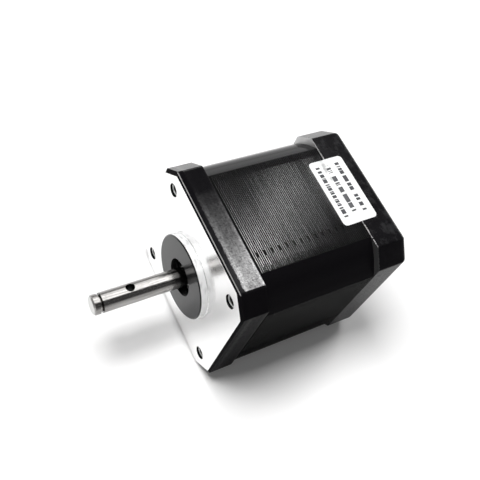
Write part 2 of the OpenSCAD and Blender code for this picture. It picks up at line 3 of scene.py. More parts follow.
import bpy
from mathutils import Matrix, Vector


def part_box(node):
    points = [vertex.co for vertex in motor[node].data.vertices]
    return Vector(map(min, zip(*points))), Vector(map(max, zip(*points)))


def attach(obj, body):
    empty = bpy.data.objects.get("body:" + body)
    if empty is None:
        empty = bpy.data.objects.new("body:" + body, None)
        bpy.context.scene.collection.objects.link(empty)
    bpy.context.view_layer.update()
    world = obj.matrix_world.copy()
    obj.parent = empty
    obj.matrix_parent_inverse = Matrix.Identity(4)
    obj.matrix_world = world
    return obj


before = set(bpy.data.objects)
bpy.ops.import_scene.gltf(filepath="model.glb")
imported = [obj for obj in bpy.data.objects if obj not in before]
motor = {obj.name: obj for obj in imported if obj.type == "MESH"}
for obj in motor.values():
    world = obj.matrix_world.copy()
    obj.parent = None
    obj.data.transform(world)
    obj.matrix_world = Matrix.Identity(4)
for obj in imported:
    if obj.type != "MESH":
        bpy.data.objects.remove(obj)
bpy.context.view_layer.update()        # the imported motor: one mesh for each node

mm = 0.001
noiseSpan = (0.3, 0.7)   # nearly all values of a noise lie between these

print("camera")

cameraLook = {
    "place": (0.05976, -0.06070, 0.14832),      # metres, from the shaft's axis at the mounting face
    "right": (0.43736782, 0.85953485, 0.26440354),
    "up": (-0.82444132, 0.26581582, 0.49963833),
    "back": (0.35917391, -0.43651093, 0.82489533),
    "lens": 51.385,
    "sensor": 36,
    "clip": (0.01, 20),
}


def placeCamera(look):
    data = bpy.data.cameras.new("camera")
    data.lens = look["lens"]
    data.sensor_width = look["sensor"]
    data.clip_start, data.clip_end = look["clip"]
    camera = bpy.data.objects.new("camera", data)
    bpy.context.scene.collection.objects.link(camera)
    turn = Matrix((look["right"], look["up"], look["back"])).transposed()
    camera.matrix_world = Matrix.Translation(look["place"]) @ turn.to_4x4()
    bpy.context.scene.camera = camera


placeCamera(cameraLook)
bpy.context.scene.view_settings.view_transform = "Standard"


def put(tree, kind, values=None, **settings):
    # one node with its settings, and its inputs linked or filled in
    made = tree.nodes.new(kind)
    for name, value in settings.items():
        setattr(made, name, value)
    for socket, value in (values or {}).items():
        if isinstance(value, bpy.types.NodeSocket):
            tree.links.new(value, made.inputs[socket])
        else:
            made.inputs[socket].default_value = value
    return made


def calc(tree, operation, *numbers):
    return put(tree, "ShaderNodeMath", dict(enumerate(numbers)), operation=operation).outputs[0]


def joining(operation):
    # a function that joins two or more numbers by this operation
    def joined(tree, first, *others):
        for other in others:
            first = calc(tree, operation, first, other)
        return first
    return joined


plus, minus, times = joining("ADD"), joining("SUBTRACT"), joining("MULTIPLY")
under, over, largest = joining("LESS_THAN"), joining("GREATER_THAN"), joining("MAXIMUM")


def sizeOf(tree, value):
    return calc(tree, "ABSOLUTE", value)


def vectorCalc(tree, operation, *vectors):
    made = put(tree, "ShaderNodeVectorMath", dict(enumerate(vectors)), operation=operation)
    return made.outputs["Value" if operation in ("LENGTH", "DOT_PRODUCT") else "Vector"]


def xyz(tree, x=0.0, y=0.0, z=0.0):
    return put(tree, "ShaderNodeCombineXYZ", {0: x, 1: y, 2: z}).outputs[0]


def partsOf(tree, vector):
    return put(tree, "ShaderNodeSeparateXYZ", {0: vector}).outputs


def inMillimetres(tree):
    place = put(tree, "ShaderNodeTexCoord").outputs["Object"]
    return vectorCalc(tree, "MULTIPLY", place, (1 / mm,) * 3)


def distanceFromAxis(tree, place):
    return vectorCalc(tree, "LENGTH", vectorCalc(tree, "MULTIPLY", place, (1, 0, 1)))


def mixColours(tree, factor, first, second):
    colours = [c if isinstance(c, bpy.types.NodeSocket) else (*c, 1) for c in (first, second)]
    return put(tree, "ShaderNodeMix", {0: factor, 6: colours[0], 7: colours[1]}, data_type="RGBA").outputs[2]


def shaded(colour, share):
    return [share * c for c in colour]


def between(tree, factor, low, high):
    # a number that runs from low to high as the factor runs from 0 to 1
    return put(tree, "ShaderNodeMapRange", {"Value": factor, "To Min": low, "To Max": high}).outputs[0]


def band(tree, value, start, end, low=0.0, high=1.0):
    # a number that runs from low to high as the value runs from start to end
    return put(tree, "ShaderNodeMapRange", {
        "Value": value, "From Min": start, "From Max": end, "To Min": low, "To Max": high}).outputs[0]


def grainOf(tree, place, perMillimetre, detail, stretch=None):
    if stretch:
        place = vectorCalc(tree, "MULTIPLY", place, stretch)
    return put(tree, "ShaderNodeTexNoise", {
        "Vector": place, "Scale": perMillimetre, "Detail": detail}).outputs[0]


def newFinish(name):
    made = bpy.data.materials.new(name)
    made.use_nodes = True
    made.node_tree.nodes.clear()
    return made, made.node_tree


def facetNormal(tree):
    return put(tree, "ShaderNodeNewGeometry").outputs["Normal"]


def facingOf(tree):
    # which way a facet points, in the frame's own directions
    return put(tree, "ShaderNodeVectorTransform", {0: facetNormal(tree)},
               vector_type="NORMAL", convert_from="WORLD", convert_to="OBJECT").outputs[0]


def turnedNormal(tree, place):
    # the true direction of a surface turned about the shaft's axis, which is smooth between its facets
    facing = facingOf(tree)
    outward = vectorCalc(tree, "NORMALIZE", vectorCalc(tree, "MULTIPLY", place, (1, 0, 1)))
    level = vectorCalc(tree, "MULTIPLY", facing, (1, 0, 1))
    side = calc(tree, "SIGN", vectorCalc(tree, "DOT_PRODUCT", level, outward))
    reach = times(tree, vectorCalc(tree, "LENGTH", level), side)
    radial = put(tree, "ShaderNodeVectorMath", {0: outward, "Scale": reach}, operation="SCALE").outputs[0]
    smooth = vectorCalc(tree, "ADD", radial, vectorCalc(tree, "MULTIPLY", facing, (0, 1, 0)))
    return put(tree, "ShaderNodeVectorTransform", {0: smooth},
               vector_type="NORMAL", convert_from="OBJECT", convert_to="WORLD").outputs[0]


def roundedEdges(tree, radius):
    return put(tree, "ShaderNodeBevel", {"Radius": radius * mm}, samples=4).outputs[0]


def eitherNormal(tree, mask, first, second):
    return put(tree, "ShaderNodeMix", {0: mask, 4: first, 5: second}, data_type="VECTOR").outputs[1]


def dress(tree, values, height, depth, normal=None):
    # the shader at the end of a finish, with bumps of the given depth in millimetres
    bumps = {"Height": height, "Distance": depth * mm}
    if normal is not None:
        bumps["Normal"] = normal
    values["Normal"] = put(tree, "ShaderNodeBump", bumps).outputs[0]
    shader = put(tree, "ShaderNodeBsdfPrincipled", values)
    put(tree, "ShaderNodeOutputMaterial", {"Surface": shader.outputs[0]})


def coat(finish, *nodes):
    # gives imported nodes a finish
    for name in nodes:
        for slot in motor[name].material_slots:
            slot.material = finish


print("studio")

studio = {
    "dome": 0.15,                 # even soft light on all dull surfaces
    "wall": 0.75,                 # what glossy surfaces mirror from the sides
    "ceiling": 0.11,              # and from overhead
    "wallTop": (0.16, 0.36),      # sine of the elevations between which the white wall fades
    "floorSize": 3.0,
    "floorLevel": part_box("front_end_bell")[0][2],
    "floorColour": (0.925, 0.922, 0.92),
    "floorLift": 0.03,            # what camera and mirror rays see on top, so that the floor is white
    "floorFar": (0.13, 0.42),     # metres from the motor between which it turns into the white backdrop
}
# a mirrored panel only shows in glossy surfaces, and the others only light dull ones
lamps = {
    "key": {
        "place": (-0.110, -0.125, 0.49), "size": (0.20, 0.25), "turn": (0, -12, 0),
        "power": 3.15, "mirrored": False},
    "rear_fill": {
        "place": (-0.15, 0.32, 0.42), "size": (0.20, 0.12), "turn": (-30, 0, 0),
        "power": 0.80, "mirrored": False},
    "stack_panel": {
        "place": (-0.142, 0.214, 0.350), "size": (0.120, 0.026), "turn": (0, 0, -46),
        "power": 0.075, "mirrored": True},
    "stack_panel_edge": {
        "place": (-0.137, 0.219, 0.350), "size": (0.150, 0.060), "turn": (0, 0, -46),
        "power": 0.093, "mirrored": True},
    "side_panel": {
        "place": (-0.55, 0.20, 0.350), "size": (0.50, 0.28), "turn": (0, 0, 0),
        "power": 1.03, "mirrored": True},
    "front_panel": {
        "place": (-0.200, 0.100, 0.350), "size": (0.54, 0.100), "turn": (0, 0, 0),
        "power": 0.60, "mirrored": True},
    "shaft_panel": {
        "place": (-0.105, -0.16, 0.350), "size": (0.45, 0.14), "turn": (0, 0, 0),
        "power": 0.75, "mirrored": True},
}
# a row of panels to the left of the first, each dimmer than the last, mirrored along the front end bell
bellPanels = {
    "place": (-0.101, 0.1695, 0.346),
    "size": (0.032, 0.029),
    "power": 0.036,
    "step": 0.0115,               # width of each further panel
    "count": 6,
    "fading": 1.4,                # above 1 they grow dim faster at first
}


def bellRow():
    look = bellPanels
    width, depth = look["size"]
    x, y, z = look["place"]
    shared = {"turn": (0, 0, 0), "mirrored": True}
    row = {"bell_panel": {"place": look["place"], "size": look["size"], "power": look["power"], **shared}}
    for index in range(look["count"]):
        bright = (1 - (index + 1) / (look["count"] + 1)) ** look["fading"]
        row[f"bell_panel_{index + 1}"] = {
            "place": (x - width / 2 - look["step"] * (index + 0.5), y, z),
            "size": (look["step"], depth),
            "power": look["power"] * bright * look["step"] / width, **shared}
    return row


def lightStudio():
    world = bpy.data.worlds.new("studio")
    bpy.context.scene.world = world
    world.use_nodes = True
    tree = world.node_tree
    tree.nodes.clear()
    rising = partsOf(tree, put(tree, "ShaderNodeTexCoord").outputs["Generated"])[2]
    ray = put(tree, "ShaderNodeLightPath").outputs
    walls = band(tree, rising, *studio["wallTop"], studio["wall"], studio["ceiling"])
    walls = largest(tree, walls, ray["Is Camera Ray"])
    walls = times(tree, walls, minus(tree, 1.0, ray["Is Diffuse Ray"]))
    strength = plus(tree, walls, times(tree, ray["Is Diffuse Ray"], studio["dome"]))
    light = put(tree, "ShaderNodeBackground", {"Color": (1, 1, 1, 1), "Strength": strength})
    put(tree, "ShaderNodeOutputWorld", {"Surface": light.outputs[0]})
    for name, look in {**lamps, **bellRow()}.items():
        data = bpy.data.lights.new(name, "AREA")
        data.shape = "RECTANGLE"
        data.size, data.size_y = look["size"]
        data.energy = look["power"]
        lamp = bpy.data.objects.new(name, data)
        bpy.context.scene.collection.objects.link(lamp)
        lamp.location = look["place"]
        lamp.rotation_euler = [math.radians(angle) for angle in look["turn"]]
        lamp.visible_diffuse = not look["mirrored"]
        lamp.visible_glossy = look["mirrored"]


def layFloor():
    half = studio["floorSize"]
    level = studio["floorLevel"]
    mesh = bpy.data.meshes.new("floor")
    corners = [(-half, -half, level), (half, -half, level), (half, half, level), (-half, half, level)]
    mesh.from_pydata(corners, [], [(0, 1, 2, 3)])
    floor = bpy.data.objects.new("floor", mesh)
    bpy.context.scene.collection.objects.link(floor)
    finish, tree = newFinish("pale_floor")
    ray = put(tree, "ShaderNodeLightPath").outputs
    seen = largest(tree, ray["Is Camera Ray"], ray["Is Glossy Ray"], ray["Is Transmission Ray"])
    board = put(tree, "ShaderNodeBsdfDiffuse", {"Color": (*studio["floorColour"], 1)}).outputs[0]
    lift = put(tree, "ShaderNodeEmission", {
        "Color": (1, 1, 1, 1), "Strength": times(tree, seen, studio["floorLift"])}).outputs[0]
    near = put(tree, "ShaderNodeAddShader", {0: board, 1: lift}).outputs[0]
    place = put(tree, "ShaderNodeTexCoord").outputs["Object"]
    distance = vectorCalc(tree, "LENGTH", vectorCalc(tree, "MULTIPLY", place, (1, 1, 0)))
    far = times(tree, seen, band(tree, distance, *studio["floorFar"]))
    white = put(tree, "ShaderNodeEmission", {"Color": (1, 1, 1, 1), "Strength": 1.0}).outputs[0]
    whole = put(tree, "ShaderNodeMixShader", {0: far, 1: near, 2: white}).outputs[0]
    put(tree, "ShaderNodeOutputMaterial", {"Surface": whole})
    mesh.materials.append(finish)


lightStudio()
layFloor()


print("black paint on the end bells and the stack")

paint = {
    "colour": (0.0030, 0.0027, 0.0033),
    "worn": (0.0062, 0.0058, 0.0068),
    "rough": (0.03, 0.06),
    "gloss": 0.24,              # specular level of the faces that are polished
    "sideGloss": 0.006,         # and of the dull ones
    "facing": (0.75, 0.95),     # between these steepnesses the gloss changes
    "chamfers": (0.60, 0.70),   # and on the end bells' connector side, so that its chamfers are polished too
    "peel": 1.6,                # humps of the sprayed paint in each millimetre
    "peelDepth": 0.0007,
    "speck": 4.0,               # fine specks in each millimetre
    "speckDepth": 0.0006,
    "scuff": 0.9,               # duller patches in each millimetre, longer across the shaft than along it
    "scuffShape": (0.5, 1.6, 0.5),
    "scuffSpan": (0.48, 0.66),
    "scuffRough": 0.02,
    "streak": 5.0,              # polishing marks in each millimetre
    "streakStretch": 0.22,      # the smaller, the longer they are
    "streakSpan": (0.36, 0.64),
    "streakShare": 0.60,        # how much they change the gloss
}
frontBell = {
    "faceTo": 0.04,             # the mounting face's cut ends here, along the shaft
    "reliefTo": 0.2,            # and around the boss here
    "reliefRadius": 11.45,
    "bossFrom": -0.01,          # the boss's side starts here, in front of the face
    "bossFront": -1.72,
    "rimRadius": 10.72,         # the boss's front edge is dark from here on
    "boreRadius": 5.0,
    "smoothRadius": 5.2,        # beyond this radius the boss has the normal of a turned surface
    "holeAt": 15.5,
    "holeRadius": 1.56,
    # painted shade inside the bore and the mounting holes; the boss's dark rim takes it too
    "holeColour": (0.006, 0.006, 0.0065),
    "aluminium": (0.93, 0.93, 0.93),
    "cutLines": 9.0,            # lines of the cut in each millimetre from the axis
    "lineShade": 0.93,
    "faceRough": (0.17, 0.24),
    "cloud": 0.35,              # patches of another roughness in each millimetre
    "cloudRough": (-0.02, 0.03),
    "smoothed": 0.97,           # how much of the paint's humps is missing on the cut
    "bossColour": (0.016, 0.016, 0.017),
    "bossRough": 0.17,
    "sideRough": 0.20,          # how much duller the boss's side is than the face
    "sideMetal": 0.35,          # and what is left there of its metal shine
    "smear": 0.35,              # how dark the smears on the boss's side are
    "smears": 0.5,              # smears in each millimetre
    "smearShape": (1.0, 2.6, 1.0),
    "smearSpan": (0.50, 0.72),
    "smearColour": (0.10, 0.10, 0.10),
    "edge": 0.18,               # how far the casting's edges are rounded
    "bevelHighlightHeight": 20.85,
    "bevelHighlightColour": (0.28, 0.28, 0.28),
    "bevelHighlight": (0.40, 0.57),  # where a grey line is painted on the bevel above the face, partly rubbed paint and partly a painted highlight of the edge
    "dullTo": (1.65, 2.05),     # millimetres behind the face where the dull strip along its edge ends
    "dull": (0.55, 0.04),       # what is left of the gloss there, on the chamfers and on the level sides
    "rubbedLine": (2.4, 3.4),   # and where the brighter strip behind that fades
    "rubbedGloss": 1.8,
    "rearLine": (6.2, 6.8),     # the rear edge is rubbed too
    "ragged": 0.25,             # millimetres that these edges wander
    "wander": 2.6,              # bends of theirs in each millimetre
}
rearBell = {
    "gloss": 0.24,
    "rough": (0.10, 0.18),
    "peelDepth": 0.0012,
    "edge": 0.30,
    "joint": 38.6,              # its machined front face lies here, along the shaft
    "rubbed": (0.022, 0.308),   # the least and the most of the paint beside it that is rubbed off
    "rubbedSpan": (0.35, 0.65),
    "shadedSideSpan": (-8.0, 8.0),      # across the motor, between these the bare metal fades to what the sides towards +X keep
    "bareOnShadedSides": 0.08,        # how much bare metal shows on the sides towards +X, kept low as painted shade
    "sideGloss": 0.03,
    "smudge": 0.45,             # dusty marks in each millimetre of the upper side
    "smudgeSpan": (0.48, 0.74),
    "smudgeColour": (0.022, 0.022, 0.023),
    "smudgeElsewhere": 0.12,    # how much of them the other sides have
}
bareMetal = {
    "colour": (0.50, 0.50, 0.50),
    "rough": 0.42,
    "patch": 2.4,               # patches in each millimetre
}
stack = {
    "insideRadius": 19.5,       # painted outside, bare iron within
    "flat": 13.7,               # half the width of a flat, dull between the lamination edges and a little darker there as painted shade
    "flatShadeColour": (0.002, 0.002, 0.002),
    "iron": (0.30, 0.29, 0.28),
    "ironDark": (0.10, 0.10, 0.10),
    "ironRough": 0.65,          # how much smoother the iron is than a flat
    "ironMetal": 0.9,
    "pitch": 0.5,
    "groove": 0.08,             # half the width of the line between two sheets
    "cornerGloss": 0.02,
}


def paintLayer(tree, place, look):
    # colour, roughness and height of sprayed black paint
    peel = grainOf(tree, place, look["peel"], 1)
    speck = grainOf(tree, place, look["speck"], 3)
    colour = mixColours(tree, speck, look["colour"], look["worn"])
    scuff = grainOf(tree, place, look["scuff"], 4, look["scuffShape"])
    scuff = band(tree, scuff, *look["scuffSpan"], 0.0, look["scuffRough"])
    rough = plus(tree, between(tree, speck, *look["rough"]), scuff)
    fine = times(tree, speck, look["speckDepth"] / look["peelDepth"])
    return colour, rough, plus(tree, peel, fine)


def glossOf(tree, place, polish, low, high):
    # gloss from that of the dull sides to that of the polished ones, broken by fine marks both ways
    stretch, share = paint["streakStretch"], paint["streakShare"]
    lengthwise = grainOf(tree, place, paint["streak"], 3, (1.0, stretch, 1.0))
    crosswise = grainOf(tree, place, paint["streak"], 3, (stretch, 1.0, stretch))
    marks = times(tree, plus(tree, lengthwise, crosswise), 0.5)
    broken = band(tree, marks, *paint["streakSpan"], 1.0 - share, 1.0 + share)
    return times(tree, between(tree, polish, low, high), broken)


def facings(tree, leftSteepness=paint["facing"]):
    # how level a face lies, from 0 to 1, and how polished it is: level, rear and connector's sides are
    part = partsOf(tree, facingOf(tree))
    level = band(tree, sizeOf(tree, part[2]), *paint["facing"])
    rear = band(tree, part[1], *paint["facing"])
    left = band(tree, times(tree, part[0], -1.0), *leftSteepness)
    return level, largest(tree, level, rear, left)


def frontBellFinish():
    look = frontBell
    made, tree = newFinish("front_end_bell")
    place = inMillimetres(tree)
    part = partsOf(tree, place)
    along = part[1]
    fromAxis = distanceFromAxis(tree, place)
    level, polish = facings(tree, paint["chamfers"])

    relief = times(tree, under(tree, along, look["reliefTo"]), under(tree, fromAxis, look["reliefRadius"]))
    cut = largest(tree, under(tree, along, look["faceTo"]), relief)
    front = under(tree, along, look["bossFront"])
    rim = times(tree, front, over(tree, fromAxis, look["rimRadius"]))
    bore = under(tree, fromAxis, look["boreRadius"])
    fromHole = vectorCalc(
        tree, "SUBTRACT", vectorCalc(tree, "ABSOLUTE", place), (look["holeAt"], 0, look["holeAt"]))
    hole = times(tree, under(tree, distanceFromAxis(tree, fromHole), look["holeRadius"]),
                 over(tree, along, look["faceTo"]))
    # the bore and the holes are painted near black, as painted shade inside them
    dark = largest(tree, bore, hole, rim)
    bright = times(tree, cut, minus(tree, 1.0, largest(tree, front, dark)))
    boss = under(tree, along, look["bossFrom"])
    side = times(tree, boss, minus(tree, 1.0, front))
    # a painted highlight along the bevel, on the top and bottom faces only
    paintedHighlight = times(tree, over(tree, along, look["bevelHighlight"][0]), under(tree, along, look["bevelHighlight"][1]),
                  over(tree, sizeOf(tree, part[2]), look["bevelHighlightHeight"]))

    colour, rough, height = paintLayer(tree, place, paint)
    lines = grainOf(tree, xyz(tree, fromAxis), look["cutLines"], 2)
    cutColour = mixColours(tree, lines, look["aluminium"], shaded(look["aluminium"], look["lineShade"]))
    colour = mixColours(tree, cut, colour, cutColour)
    colour = mixColours(tree, front, colour, look["bossColour"])
    colour = mixColours(tree, dark, colour, look["holeColour"])
    colour = mixColours(tree, paintedHighlight, colour, look["bevelHighlightColour"])
    smears = grainOf(tree, place, look["smears"], 1, look["smearShape"])
    smears = times(tree, side, band(tree, smears, *look["smearSpan"], 0.0, look["smear"]))
    colour = mixColours(tree, smears, colour, look["smearColour"])

    cloud = band(tree, grainOf(tree, place, look["cloud"], 3), *noiseSpan, *look["cloudRough"])
    rough = between(tree, cut, rough, plus(tree, between(tree, lines, *look["faceRough"]), cloud))
    rough = between(tree, front, rough, look["bossRough"])
    rough = plus(tree, rough, times(tree, side, look["sideRough"]))

    ragged = grainOf(tree, place, look["wander"], 4)
    rubbed = plus(tree, along, band(tree, ragged, *noiseSpan, -look["ragged"], look["ragged"]))
    gloss = times(tree, glossOf(tree, place, polish, paint["sideGloss"], paint["gloss"]),
                  band(tree, rubbed, *look["dullTo"], between(tree, level, *look["dull"]), 1.0),
                  band(tree, rubbed, *look["rubbedLine"], look["rubbedGloss"], 1.0),
                  band(tree, rubbed, *look["rearLine"], 1.0, look["rubbedGloss"]))
    gloss = largest(tree, gloss, times(tree, front, paint["gloss"]))

    height = times(tree, height, minus(tree, 1.0, times(tree, cut, look["smoothed"])))
    turned = times(tree, boss, over(tree, fromAxis, look["smoothRadius"]))
    normal = eitherNormal(tree, turned, roundedEdges(tree, look["edge"]), turnedNormal(tree, place))
    shine = times(tree, bright, between(tree, side, 1.0, look["sideMetal"]))
    dress(tree, {"Base Color": colour, "Roughness": rough, "Metallic": shine, "Specular IOR Level": gloss},
          height, paint["peelDepth"], normal)
    return made


def rearBellFinish():
    # the paint is rubbed off beside the machined front face; less bare metal shows towards +X, as painted
    # shade
    look = {**paint, **rearBell}
    made, tree = newFinish("rear_end_bell")
    place = inMillimetres(tree)
    part = partsOf(tree, place)
    level, polish = facings(tree, paint["chamfers"])
    colour, rough, height = paintLayer(tree, place, look)
    reach = band(tree, grainOf(tree, place, bareMetal["patch"], 3), *look["rubbedSpan"], *look["rubbed"])
    # painted shade: towards +X the bare metal is kept low
    shown = largest(tree, level, band(tree, part[0], *look["shadedSideSpan"], 1.0, look["bareOnShadedSides"]))
    bare = times(tree, under(tree, minus(tree, part[1], look["joint"]), reach), shown)
    smudge = band(tree, grainOf(tree, place, look["smudge"], 5), *look["smudgeSpan"])
    smudge = times(tree, smudge, between(tree, level, look["smudgeElsewhere"], 1.0))
    colour = mixColours(tree, bare, colour, bareMetal["colour"])
    colour = mixColours(tree, smudge, colour, look["smudgeColour"])
    dress(tree, {"Base Color": colour, "Roughness": between(tree, bare, rough, bareMetal["rough"]),
                 "Metallic": bare,
                 "Specular IOR Level": glossOf(tree, place, polish, look["sideGloss"], look["gloss"])},
          height, look["peelDepth"], roundedEdges(tree, look["edge"]))
    return made


def stackFinish():
    look = stack
    made, tree = newFinish("stator_stack")
    place = inMillimetres(tree)
    colour, rough, height = paintLayer(tree, place, paint)
    inside = under(tree, distanceFromAxis(tree, place), look["insideRadius"])
    sheet = calc(tree, "PINGPONG", partsOf(tree, place)[1], look["pitch"] / 2)
    edge = band(tree, sheet, 0, look["groove"])
    part = partsOf(tree, vectorCalc(tree, "ABSOLUTE", place))
    fromCorner = calc(tree, "MINIMUM", part[0], part[2])
    flat = under(tree, fromCorner, look["flat"])
    corner = over(tree, fromCorner, look["flat"])
    colour = mixColours(tree, flat, colour, look["flatShadeColour"])
    colour = mixColours(tree, inside, colour, mixColours(tree, edge, look["ironDark"], look["iron"]))
    rough = minus(tree, largest(tree, rough, flat), times(tree, inside, look["ironRough"]))
    height = between(tree, inside, height, edge)
    gloss = between(tree, facings(tree)[1], look["cornerGloss"], paint["gloss"])
    normal = eitherNormal(tree, corner, facetNormal(tree), turnedNormal(tree, place))
    dress(tree, {"Base Color": colour, "Roughness": rough, "Specular IOR Level": gloss,
                 "Metallic": times(tree, inside, look["ironMetal"])}, height, paint["peelDepth"], normal)
    return made


coat(frontBellFinish(), "front_end_bell")
coat(rearBellFinish(), "rear_end_bell")
coat(stackFinish(), "stator_stack")


print("shaft")

shaftLook = {
    "steel": (0.36, 0.352, 0.343),
    "steelDark": (0.22, 0.212, 0.206),
    "rough": (0.14, 0.24),
    "grind": 3.2,               # drawing lines in each millimetre around the shaft
    "grindShape": (1, 0.03, 1),
    "grindSpan": (0.35, 0.68),
    "depth": 0.0008,
    "cloud": 0.9,               # patches of another roughness in each millimetre
    "cloudRough": (-0.03, 0.05),
    "holeAt": -15.3,            # the cross hole, painted dark inside as painted shade
    "holeTurn": 12.5,
    "holeRadius": 1.30,
    "holeDepth": 2.46,
    "holeColour": (0.01, 0.01, 0.01),
    "groove": (-22.98, -22.56),  # the ring groove's shoulder, painted dark as painted shade
    "grooveShadeColour": (0.03, 0.028, 0.025),
    "near": (-4.6, -1.2),       # painted shade: the shaft is painted darker towards the bore
    "boreShade": 0.45,
    "tip": -24.85,              # its end is paler
    "tipColour": (0.50, 0.50, 0.49),
}


def shaftFinish():
    look = shaftLook
    made, tree = newFinish("shaft")
    place = inMillimetres(tree)
    along = partsOf(tree, place)[1]
    turn = math.radians(look["holeTurn"])
    across = vectorCalc(tree, "DOT_PRODUCT", place, (math.cos(turn), 0, math.sin(turn)))
    fromHole = vectorCalc(tree, "LENGTH", xyz(tree, across, minus(tree, along, look["holeAt"])))
    bored = times(tree, under(tree, fromHole, look["holeRadius"]),
                  under(tree, distanceFromAxis(tree, place), look["holeDepth"]))
    groove = times(tree, over(tree, along, look["groove"][0]), under(tree, along, look["groove"][1]))
    near = band(tree, along, *look["near"], 0.0, 1.0 - look["boreShade"])

    lines = grainOf(tree, place, look["grind"], 3, look["grindShape"])
    colour = mixColours(tree, band(tree, lines, *look["grindSpan"]), look["steel"], look["steelDark"])
    # painted shade on the groove's shoulder
    colour = mixColours(tree, groove, colour, look["grooveShadeColour"])
    colour = mixColours(tree, under(tree, along, look["tip"]), colour, look["tipColour"])
    # painted shade, darker towards the bore
    colour = mixColours(tree, near, colour, (0, 0, 0))
    # painted shade inside the cross hole
    colour = mixColours(tree, bored, colour, look["holeColour"])
    cloud = band(tree, grainOf(tree, place, look["cloud"], 3), *noiseSpan, *look["cloudRough"])
    rough = plus(tree, between(tree, lines, *look["rough"]), cloud)
    normal = eitherNormal(tree, bored, turnedNormal(tree, place), facetNormal(tree))
    dress(tree, {"Base Color": colour, "Roughness": rough, "Metallic": 1.0}, lines, look["depth"], normal)
    return made


coat(shaftFinish(), "shaft")


print("label")

labelLook = {
    "film": (0.80, 0.80, 0.795),
    "ink": (0.035, 0.035, 0.04),
    "rough": (0.28, 0.40),
    "fibre": 3.0,               # fibres in each millimetre
    "fibreShade": 0.95,
    "fibreHeight": 0.06,        # share of the crease's height
    "rows": (35.45, 38.35, 41.25),
    "rowHalf": 0.60,
    "rowStep": 7.3,             # how far apart in the noise the rows are read
    "dashes": 1.7,              # in each millimetre of a row
    "dashFrom": 0.46,
    "ends": (-8.2, 6.9),
    "step": 37.5,               # the film is creased where it climbs onto the rear end bell
    "crease": 0.045,
    "creaseHalf": 1.3,          # half its width
    "wander": 0.28,             # bends of the crease in each millimetre
    "wanderBy": (-0.9, 0.9),
    "patch": 0.6,               # the crease's painted shade is darker in patches, fainter towards the right
    "patchSpan": (0.25, 0.55),
    "patchEnds": (-4.5, -1.0),
    "patchLeast": 0.25,
    "creaseShade": 0.75,         # how much painted shade the crease lays on the film
    "creaseShadeColour": (0.25, 0.25, 0.25),
}


def labelFinish():
    look = labelLook
    made, tree = newFinish("rating_label")
    place = inMillimetres(tree)
    part = partsOf(tree, place)
    start, end = look["ends"]
    within = under(tree, sizeOf(tree, minus(tree, part[0], (start + end) / 2)), (end - start) / 2)
    bars = []
    for index, row in enumerate(look["rows"]):
        near = under(tree, sizeOf(tree, minus(tree, part[1], row)), look["rowHalf"])
        dash = grainOf(tree, xyz(tree, part[0], look["rowStep"] * index), look["dashes"], 1)
        bars.append(times(tree, near, over(tree, dash, look["dashFrom"])))
    ink = times(tree, largest(tree, *bars), within)

    fibre = grainOf(tree, place, look["fibre"], 3)
    film = mixColours(tree, fibre, look["film"], shaded(look["film"], look["fibreShade"]))
    wander = band(tree, grainOf(tree, place, look["wander"], 2), *noiseSpan, *look["wanderBy"])
    fromStep = sizeOf(tree, plus(tree, minus(tree, part[1], look["step"]), wander))
    fold = put(tree, "ShaderNodeMapRange", {
        "Value": fromStep, "From Max": look["creaseHalf"], "To Min": 1.0, "To Max": 0.0},
        interpolation_type="SMOOTHERSTEP").outputs[0]
    patch = band(tree, grainOf(tree, place, look["patch"], 2), *look["patchSpan"])
    patch = times(tree, patch, band(tree, part[0], *look["patchEnds"], 1.0, look["patchLeast"]))
    # painted shade along the crease
    film = mixColours(tree, times(tree, fold, patch, look["creaseShade"]), film, look["creaseShadeColour"])
    height = plus(tree, times(tree, fibre, look["fibreHeight"]), fold)
    dress(tree, {"Base Color": mixColours(tree, ink, film, look["ink"]),
                 "Roughness": between(tree, fibre, *look["rough"])}, height, look["crease"])
    return made


coat(labelFinish(), "rating_label")


print("finishes of the parts inside")

